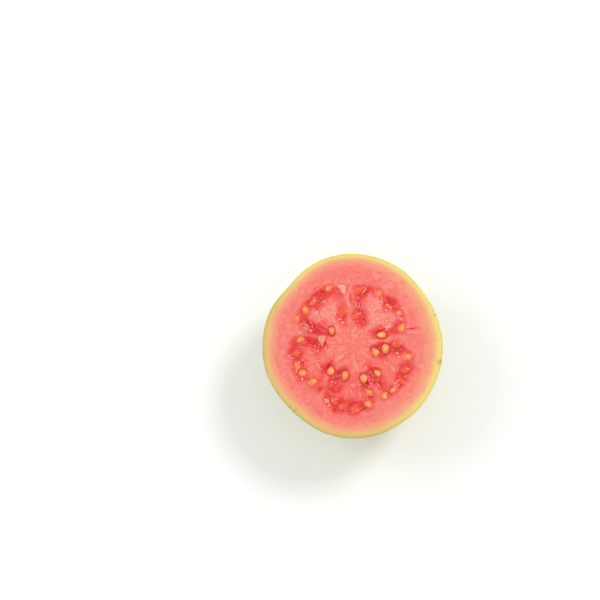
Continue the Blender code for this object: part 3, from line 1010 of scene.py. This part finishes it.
def flesh_material(colours):
    g = Graph("wet_flesh")
    place = g.place()
    rim = g.attribute("rim")
    gel, lobe, moat, amber, blush, pale = (g.attribute(name) for name in FACE_MASKS)
    broad = g.noise(place, 130, 3)
    fine = g.noise(place, 900, 3, 0.6)
    grain = g.noise(place, 2300, 2, 0.6)
    wander = (g.noise(place, 170, 2) - 0.5) * 2.2 + (fine - 0.5) * 0.9
    # from the skin inwards the flesh turns from yellow to pink, over 8 mm
    stops = (
        (0.05, colours.rim_yellow),
        (0.11, seen(246, 219, 126)),
        (0.17, seen(249, 210, 131)),
        (0.25, seen(247, 188, 129)),
        (0.36, seen(246, 167, 127)),
        (0.50, seen(252, 154, 127)),
        (0.62, seen(251, 141, 122)),
        (0.80, colours.flesh),
    )
    depth = (rim + wander * g.step(rim, 0.2, 3)) / 10
    g.colour = g.node("ShaderNodeValToRGB", {"stops": stops}, {"Fac": depth})
    # painted shade: the flesh next to the skin turns tan on the side away from the key light
    g.paint(g.greener_shaded_side(place) * g.step(rim, 4.5, 0.3) * 0.75, colours.rim_tan_shade)
    mottle = g.noise(place, 460, 4, 0.65)
    patch = g.noise(place, 420, 3, 0.6)
    g.paint(g.step(broad, 0.45, 0.75) * 0.5 * g.step(rim, 4, 9), colours.flesh_deep)
    g.paint(g.step(broad, 0.50, 0.25) * 0.35 * g.step(rim, 4, 9), colours.flesh_pale)
    # the middle of the fruit is a deeper pink, with pale rays
    middle = g.step(rim, 11, 19)
    g.paint(middle * 0.6, colours.core)
    g.paint(g.step(mottle, 0.50, 0.66) * 0.6 * g.step(rim, 3, 8), colours.flesh_deep)
    g.paint(g.step(mottle, 0.49, 0.34) * 0.6 * g.step(rim, 3, 8), colours.flesh_pale)
    g.paint(g.step(fine, 0.54, 0.68) * 0.35 * g.step(rim, 2, 6), colours.flesh_deep)
    g.paint(g.step(fine, 0.46, 0.32) * 0.30 * g.step(rim, 2, 6), colours.flesh_pale)
    streaks = g.noise(g.rays(place, 5, 150), 1, 4, 0.65)
    inner = middle * (1 - gel) * (1 - lobe)
    g.paint(inner * g.step(streaks, 0.50, 0.66) * 0.7, colours.lobe_pale)
    g.paint(inner * g.step(streaks, 0.45, 0.33) * 0.4, colours.lobe_deep)
    # the lobes
    fan = g.noise(g.rays(place, 44, 120), 1, 3, 0.6)
    folds = g.noise(place, 300, 3, 0.6)
    shallow = g.step(blush, 0.0, -0.4)
    g.paint(g.least(blush, 1) * 0.8, colours.lobe_deep)
    g.paint(shallow * (0.18 + 0.24 * g.step(folds, 0.36, 0.62)), colours.lobe_pale)
    g.paint(shallow * g.crease(folds, 0.49, 0.022) * 0.7, colours.gel_pale)
    g.paint(shallow * g.crease(folds, 0.535, 0.03) * 0.8, colours.fibre_pale)
    g.paint(lobe * g.step(fan, 0.50, 0.70) * 0.5, colours.lobe_pale)
    g.paint(lobe * g.step(fan, 0.47, 0.30) * 0.35, colours.lobe_deep)
    g.paint(g.step(pale * (0.5 + patch), 0.2, 0.9) * 0.6, colours.lobe_pale)
    # creases and pale threads in the torn pulp
    torn = g.step(rim, 9, 14)
    crease = g.crease(g.noise(place, 430, 3, 0.6), 0.5, 0.028)
    g.paint(torn * crease * 0.5, colours.gel)
    thread = g.crease(g.noise(g.stretched(place, 1, 1, 1.3), 560, 3, 0.6), 0.46, 0.022)
    g.paint(torn * thread * 0.45, colours.lobe_pale)
    # small marks in the outer flesh: short strokes round the fruit and sparse dots
    outer = g.step(rim, 3, 6) * g.step(rim, 16, 11)
    strokes = g.noise(g.rays(place, 8, 1300), 1, 2, 0.5)
    g.paint(outer * g.step(strokes, 0.60, 0.70) * 0.6, colours.stroke)
    spokes = g.noise(g.rays(place, 34, 60), 1, 2, 0.5)
    g.paint(outer * g.step(spokes, 0.62, 0.72) * 0.45, colours.stroke)
    dots = g.step(g.cells(place, 230), 0.11, 0.05) * g.step(g.cells(place, 230, "Color"), 0.5, 0.7)
    g.paint(outer * dots * 0.7, colours.dot)
    spoiled = g.step(g.attribute("bruise") * (0.4 + mottle), 0.05, 1.2)
    g.paint(spoiled * 0.6, colours.stain)
    # grains of the pulp
    grains = g.step(g.cells(place, 1500), 0.45, 0.15)
    g.paint(grains * 0.22 * (1 - gel) * g.step(rim, 1, 5), colours.flesh_pale)
    # the wet grooves, painted shade in the pits round the seeds, and the seeds under the pulp
    wet = g.least(gel * (0.2 + patch + mottle * 0.7), 1)
    g.paint(g.step(wet, 0.08, 0.36) * 0.65, colours.gel_pale)
    g.paint(g.step(wet, 0.30, 0.66) * 0.95, colours.gel)
    g.paint(g.step(wet * g.step(mottle, 0.36, 0.62), 0.50, 0.85) * 0.85, colours.gel_deep)
    g.paint(moat * g.step(patch, 0.15, 0.5) * 0.8, colours.pit_shade)
    g.paint(g.step(amber, 0.1, 0.9) * 0.9, colours.amber)
    shreds = g.step(g.noise(place, 1100, 2, 0.6), 0.60, 0.70) * g.step(gel, 0.15, 0.4) * (1 - moat)
    g.paint(shreds * 0.5, colours.lobe_pale)
    juice = g.step(gel, 0.1, 0.7)
    rough = 0.46 - 0.26 * juice - 0.06 * lobe + (fine - 0.5) * 0.25
    pulp = grain * 0.45 + fine * 0.55 + grains * 0.35
    normal = g.bump(pulp, 0.16 * MM, 0.8)
    return g.finish(
        Roughness=rough,
        Coat_Weight=g.least(0.25 + 0.75 * juice + 0.2 * lobe, 1),
        Coat_Roughness=0.11,
        Coat_IOR=1.36,
        IOR=1.36,
        Subsurface_Weight=0.15,
        Subsurface_Radius=(1.0, 0.32, 0.22),
        Subsurface_Scale=1.0 * MM,
        Normal=normal,
    )


def skin_material(colours):
    g = Graph("waxy_skin", colours.skin_green)
    place = g.place()
    across = g.attribute("across")
    down = g.attribute("down")
    broad = g.noise(place, 38, 3, 0.55)
    patch = g.noise(place, 120, 4, 0.6)
    fine = g.noise(place, 800, 3, 0.6)
    g.paint(g.step(broad, 0.38, 0.66), colours.skin_yellow)
    g.paint(g.step(patch, 0.50, 0.72) * 0.55, colours.skin_bright)
    g.paint(g.step(patch, 0.46, 0.28) * 0.5, colours.skin_olive)
    g.paint(g.step(down, 0.75, 1.0) * 0.35, colours.skin_bright)
    # pale pores and small brown specks
    pores = g.step(g.cells(place, 900), 0.30, 0.12)
    g.paint(pores * 0.25, colours.skin_bright)
    g.paint(g.step(fine, 0.52, 0.70) * 0.35, colours.skin_olive)
    small = g.step(g.cells(place, 420), 0.20, 0.08) * g.step(g.cells(place, 420, "Color"), 0.62, 0.72)
    g.paint(small * 0.6, colours.scar)
    # soft olive stains, brown blotches in a few of them, and thin scratches
    stain = g.noise(place, 150, 4, 0.65) * g.step(g.noise(place, 48, 1), 0.46, 0.60)
    g.paint(g.step(stain, 0.40, 0.58) * 0.55, colours.stain)
    blotch = g.step(g.noise(place, 260, 4, 0.7) * g.step(stain, 0.50, 0.60), 0.46, 0.60)
    g.paint(blotch * 0.7, colours.scar)
    scratch = g.step(g.noise(g.stretched(place, 260, 900, 420), 1, 2, 0.5), 0.68, 0.75)
    g.paint(scratch * 0.7, colours.scar_dark)
    # the cut edge of the skin is pale, with a thin green line round it; painted shade makes the line strongest
    # on the side away from the key light
    cut = g.step(down, 0.02, 0.0)
    g.paint(cut, colours.rim_yellow)
    green = 0.15 + 0.8 * g.greener_shaded_side(place)
    g.paint(g.step(across, 1.0, 0.4) * cut * green, colours.rim_green)
    spoiled = g.step(g.attribute("bruise") * (0.4 + patch), 0.05, 1.1)
    g.paint(spoiled * 0.7, colours.stain)
    marks = g.maths("MAXIMUM", blotch, scratch)
    rough = 0.26 + 0.25 * marks + (fine - 0.5) * 0.16 + 0.12 * cut
    height = fine * 0.25 + g.noise(place, 330, 2) * 0.7 - pores * 0.25 + marks * 0.4
    normal = g.bump(height, 0.22 * MM, 0.7)
    return g.finish(
        Roughness=rough,
        Coat_Weight=0.8 - 0.6 * marks,
        Coat_Roughness=0.06,
        IOR=1.42,
        Subsurface_Weight=0.08,
        Subsurface_Radius=(0.8, 1.0, 0.3),
        Subsurface_Scale=1.0 * MM,
        Normal=normal,
    )


def seed_material(colours):
    g = Graph("seed_coat", colours.seed)
    place = g.place()
    tint = g.attribute("tint")
    blot = g.noise(place, 700, 3, 0.6)
    edge = g.attribute("edge") + (blot - 0.5) * 0.55
    g.paint(tint, colours.seed_orange)
    # painted highlight: the middle of each seed's top is made paler
    g.paint(g.step(edge, 0.55, 0.15) * (1 - tint * 0.6), colours.seed_highlight)
    g.paint(g.step(edge, 0.58, 0.98) * 0.8, colours.seed_edge)
    # painted shade: the seed's outer rim and its underside take the dark pit colour
    g.paint(g.step(edge, 0.98, 1.1), colours.pit_shade)
    fine = g.noise(place, 2600, 2, 0.6)
    normal = g.bump(blot * 0.6 + fine * 0.4, 0.14 * MM, 0.6)
    return g.finish(
        Roughness=0.38 + (fine - 0.5) * 0.2,
        Coat_Weight=0.6,
        Coat_Roughness=0.12,
        IOR=1.45,
        Subsurface_Weight=0.2,
        Subsurface_Radius=(1.0, 0.5, 0.2),
        Subsurface_Scale=0.8 * MM,
        Normal=normal,
    )


def fibre_material(colours):
    g = Graph("pulp_fibre", colours.fibre)
    place = g.place()
    blot = g.noise(place, 1100, 2, 0.6)
    g.paint(g.step(blot, 0.35, 0.65), colours.fibre_pale)
    g.paint(g.step(g.noise(place, 620, 2), 0.46, 0.66) * 0.7, colours.flesh)
    normal = g.bump(blot * 0.6 + g.noise(place, 3000, 2) * 0.4, 0.16 * MM, 0.7)
    return g.finish(
        Roughness=0.36 + (blot - 0.5) * 0.2,
        Coat_Weight=0.4,
        Coat_Roughness=0.1,
        IOR=1.36,
        Normal=normal,
    )


def stalk_material(colours):
    g = Graph("dry_stalk", colours.scar_dark)
    place = g.place()
    cork = g.noise(place, 1300, 4, 0.7)
    g.paint(g.step(cork, 0.35, 0.65), colours.scar)
    return g.finish(Roughness=0.82 + (cork - 0.5) * 0.2, IOR=1.4, Normal=g.bump(cork, 0.3 * MM, 0.9))


def floor_material(colours, glow):
    g = Graph("pale_floor", colours.floor)
    speck = g.noise(g.place(), 60, 2)
    g.paint(speck * 0.03, (0.8, 0.8, 0.8))
    return g.finish(
        Roughness=0.9,
        Emission_Color=(1, 1, 1),
        Emission_Strength=glow,
        Normal=g.bump(speck, 0.02 * MM, 0.2),
    )


# ---------------------------------------------------------------- What a user can change


def number(name, description, default, **kind):
    return FloatProperty(name=name, description=description, default=default, **kind)


def length(name, description, default):
    return number(name, description, default, unit="LENGTH", precision=5)


def colour(name, description, default):
    return FloatVectorProperty(
        name=name, description=description, default=default, subtype="COLOR", size=3, min=0, max=1
    )


class GuavaSizes(bpy.types.PropertyGroup):
    skin_thickness: length("Skin", "How thick the skin is", 0.55 * MM)
    rim_round: length("Rim rounding", "How far the skin's cut edges are rounded down", 0.10 * MM)
    skin_bumps: length("Skin bumps", "How high the skin's small bumps are", 0.16 * MM)
    seed_length: length("Seed length", "A seed from end to end", 4.6 * MM)
    seed_width: length("Seed width", "A seed across", 3.4 * MM)
    seed_thickness: length("Seed thickness", "A seed from its upper to its lower side", 2.6 * MM)
    seed_stand: length("Seed stand", "How far a bare seed's top is over the cut", 0.25 * MM)
    # partly painted light: the band is widened on the lit side
    band_shift_to_light: number("Band shift", "How much wider the pale band is on the right", 0.17, subtype="FACTOR")
    band_ends: number("Band ends", "How much wider it is at both sides than between", 0.12, subtype="FACTOR")


class GuavaColours(bpy.types.PropertyGroup):
    flesh: colour("Flesh", "The outer flesh", seen(250, 128, 117))
    flesh_deep: colour("Deep flesh", "Its deeper patches", seen(246, 106, 97))
    flesh_pale: colour("Pale flesh", "Its paler patches, grains and rays", seen(254, 155, 142))
    core: colour("Core", "The middle of the fruit", seen(250, 113, 91))
    lobe_deep: colour("Deep lobe", "The redder flesh inside the pockets", seen(249, 90, 86))
    lobe_pale: colour("Lobe rays", "The pale rays and folds in it", seen(255, 162, 150))
    gel_pale: colour("Thin gel", "The wet pulp at the grooves' sides", seen(245, 80, 73))
    gel: colour("Gel", "The wet pulp in the grooves", seen(243, 48, 46))
    gel_deep: colour("Deep gel", "The deepest of it", seen(208, 18, 30))
    # painted shade in the hollows round the seeds and on the seeds' rims and undersides
    pit_shade: colour("Pit", "The pits round the seeds", seen(208, 52, 36))
    amber: colour("Amber", "Seeds under the pulp", seen(252, 94, 42))
    stroke: colour("Strokes", "Short strokes in the outer flesh", seen(236, 98, 92))
    dot: colour("Dots", "Sparse dots in the outer flesh", seen(216, 84, 78))
    rim_green: colour("Rim green", "The green line round the skin's cut edge", seen(176, 162, 76))
    rim_yellow: colour("Rim yellow", "The skin's cut edge and the flesh next to it", seen(242, 226, 120))
    # tan and painted shade at once: it darkens the flesh by the skin on the side away from the key light
    rim_tan_shade: colour("Rim tan", "The flesh next to the skin on one side", seen(222, 178, 108))
    seed: colour("Seed", "Bare seeds", seen(252, 150, 76))
    seed_orange: colour("Orange seed", "The redder ones", seen(249, 124, 60))
    # painted highlight on the seeds' tops
    seed_highlight: colour("Seed top", "Their upper sides", seen(254, 188, 124))
    seed_edge: colour("Seed edge", "Their sides", seen(240, 106, 52))
    fibre: colour("Fibre", "Torn fibres", seen(252, 136, 124))
    fibre_pale: colour("Pale fibre", "Their paler parts", seen(254, 172, 158))
    skin_green: colour("Green skin", "The greener skin", seen(168, 180, 28))
    skin_yellow: colour("Yellow skin", "The riper skin", seen(211, 201, 48))
    skin_bright: colour("Bright skin", "Its brightest patches and pores", seen(226, 221, 82))
    skin_olive: colour("Olive skin", "Its darker patches", seen(138, 142, 22))
    stain: colour("Stain", "Soft olive stains", seen(128, 118, 20))
    scar: colour("Scar", "Brown blotches and specks", seen(112, 78, 26))
    scar_dark: colour("Dark scar", "Scratches and the stalk scar", seen(74, 50, 22))
    floor: colour("Floor", "The pale floor", (0.96, 0.96, 0.96))


class GuavaStage(bpy.types.PropertyGroup):
    elevation: number("Elevation", "How steeply the camera looks down", math.radians(80), subtype="ANGLE")
    distance: number("Distance", "From the camera to the cut face", 0.6, unit="LENGTH")
    lens: number("Lens", "The camera's focal length, in mm", 85.0)
    right: number("Right", "How far right of the view's middle the fruit is, in its widths", 0.2914)
    lower: number("Lower", "How far below the view's middle the fruit is, in its widths", 0.248)
    sky: number("Sky", "How bright the even light from all sides is", 0.64)
    key_power: number("Key light", "The main soft light", 4.2, unit="POWER")
    key_size: number("Key size", "How wide it is", 0.35, unit="LENGTH")
    fill_power: number("Fill light", "The soft light from the left", 2.0, unit="POWER")
    fill_size: number("Fill size", "How wide it is", 0.5, unit="LENGTH")
    floor_size: number("Floor", "The floor's side", 6.0, unit="LENGTH")
    floor_glow: number("Floor glow", "How much light the floor gives off, so that it stays pale", 0.11)


# ---------------------------------------------------------------- Operators


class GUAVA_OT_flesh(bpy.types.Operator):
    """Model the flesh: the cut face with its seed pockets, and the hidden side under the skin"""

    bl_idname = "guava.flesh"
    bl_label = "Flesh"

    def execute(self, context):
        scene = context.scene
        show(flesh_mesh(scene.guava_sizes), "flesh", flesh_material(scene.guava_colours))
        return {"FINISHED"}


class GUAVA_OT_skin(bpy.types.Operator):
    """Model the thin skin, with its cut edge"""

    bl_idname = "guava.skin"
    bl_label = "Skin"

    def execute(self, context):
        scene = context.scene
        show(skin_mesh(scene.guava_sizes), "skin", skin_material(scene.guava_colours))
        return {"FINISHED"}


class GUAVA_OT_seeds(bpy.types.Operator):
    """Model the bare seeds in the pockets"""

    bl_idname = "guava.seeds"
    bl_label = "Seeds"

    def execute(self, context):
        scene = context.scene
        show(seeds_mesh(scene.guava_sizes), "seeds", seed_material(scene.guava_colours))
        return {"FINISHED"}


class GUAVA_OT_fibres(bpy.types.Operator):
    """Model the torn fibres of pulp"""

    bl_idname = "guava.fibres"
    bl_label = "Fibres"

    def execute(self, context):
        show(fibres_mesh(), "fibres", fibre_material(context.scene.guava_colours))
        return {"FINISHED"}


class GUAVA_OT_stalk_scar(bpy.types.Operator):
    """Model the dry stalk scar under the dome"""

    bl_idname = "guava.stalk_scar"
    bl_label = "Stalk scar"

    def execute(self, context):
        show(stalk_mesh(), "stalk_scar", stalk_material(context.scene.guava_colours))
        return {"FINISHED"}


class GUAVA_OT_stage(bpy.types.Operator):
    """Set up the floor, the soft lights and the camera"""

    bl_idname = "guava.stage"
    bl_label = "Stage"

    def execute(self, context):
        stage = context.scene.guava_stage
        add_floor(stage, context.scene.guava_colours)
        add_sky(stage)
        add_light("key", stage.key_power, stage.key_size, KEY_PLACE)
        add_light("fill", stage.fill_power, stage.fill_size, FILL_PLACE)
        add_camera(stage)
        context.scene.view_settings.view_transform = "Standard"
        return {"FINISHED"}


def add_floor(stage, colours):
    bm = bmesh.new()
    bmesh.ops.create_grid(bm, x_segments=1, y_segments=1, size=stage.floor_size / 2)
    mesh = mesh_from(bm, "floor")
    mesh.materials.append(floor_material(colours, stage.floor_glow))
    add_object("floor", mesh)


def add_sky(stage):
    world = bpy.data.worlds.new("soft_sky")
    world.use_nodes = True
    background = world.node_tree.nodes["Background"]
    background.inputs["Color"].default_value = (1, 1, 1, 1)
    background.inputs["Strength"].default_value = stage.sky
    bpy.context.scene.world = world


def add_light(name, power, size, place):
    """A soft round light that faces the fruit."""
    data = bpy.data.lights.new(name, "AREA")
    data.shape = "DISK"
    data.size = size
    data.energy = power
    light = add_object(name, data)
    light.location = place
    aim = Vector((0, 0, HEIGHT)) - Vector(place)
    light.rotation_euler = aim.to_track_quat("-Z", "Y").to_euler()


def add_camera(stage):
    """Looks down on the cut face. It is aimed beside the fruit, which so stands off the view's middle."""
    data = bpy.data.cameras.new("camera")
    data.lens = stage.lens
    data.sensor_width = SENSOR_WIDTH
    data.clip_start = NEAREST_SEEN
    camera = add_object("camera", data)
    target = Vector((0, 0, HEIGHT))
    back = Vector((0, -math.cos(stage.elevation), math.sin(stage.elevation)))
    camera.location = target + back * stage.distance
    upward = Vector((0, math.sin(stage.elevation), math.cos(stage.elevation)))
    width = HIGH.x - LOW.x
    aim = target - Vector((1, 0, 0)) * stage.right * width + upward * stage.lower * width
    forward = (aim - camera.location).normalized()
    sideways = forward.cross(upward).normalized()
    turn = Matrix((sideways, sideways.cross(forward), -forward)).transposed()
    camera.rotation_euler = turn.to_euler()
    bpy.context.scene.camera = camera


class GUAVA_PT_sidebar(bpy.types.Panel):
    bl_label = "Guava"
    bl_idname = "GUAVA_PT_sidebar"
    bl_space_type = "VIEW_3D"
    bl_region_type = "UI"
    bl_category = "Guava"

    def draw(self, context):
        layout = self.layout
        scene = context.scene
        for group in (scene.guava_sizes, scene.guava_colours, scene.guava_stage):
            box = layout.box()
            for name in group.__annotations__:
                box.prop(group, name)
        for operator in OPERATORS:
            layout.operator(operator.bl_idname)


OPERATORS = (
    GUAVA_OT_stage,
    GUAVA_OT_flesh,
    GUAVA_OT_skin,
    GUAVA_OT_seeds,
    GUAVA_OT_fibres,
    GUAVA_OT_stalk_scar,
)
CLASSES = (GuavaSizes, GuavaColours, GuavaStage, *OPERATORS, GUAVA_PT_sidebar)


def register():
    for cls in CLASSES:
        bpy.utils.register_class(cls)
    bpy.types.Scene.guava_sizes = PointerProperty(type=GuavaSizes)
    bpy.types.Scene.guava_colours = PointerProperty(type=GuavaColours)
    bpy.types.Scene.guava_stage = PointerProperty(type=GuavaStage)


def unregister():
    del bpy.types.Scene.guava_stage
    del bpy.types.Scene.guava_colours
    del bpy.types.Scene.guava_sizes
    for cls in reversed(CLASSES):
        bpy.utils.unregister_class(cls)


def main():
    register()
    bpy.ops.guava.stage()
    bpy.ops.guava.flesh()
    bpy.ops.guava.skin()
    bpy.ops.guava.seeds()
    bpy.ops.guava.fibres()
    bpy.ops.guava.stalk_scar()


if __name__ == "__main__":
    main()
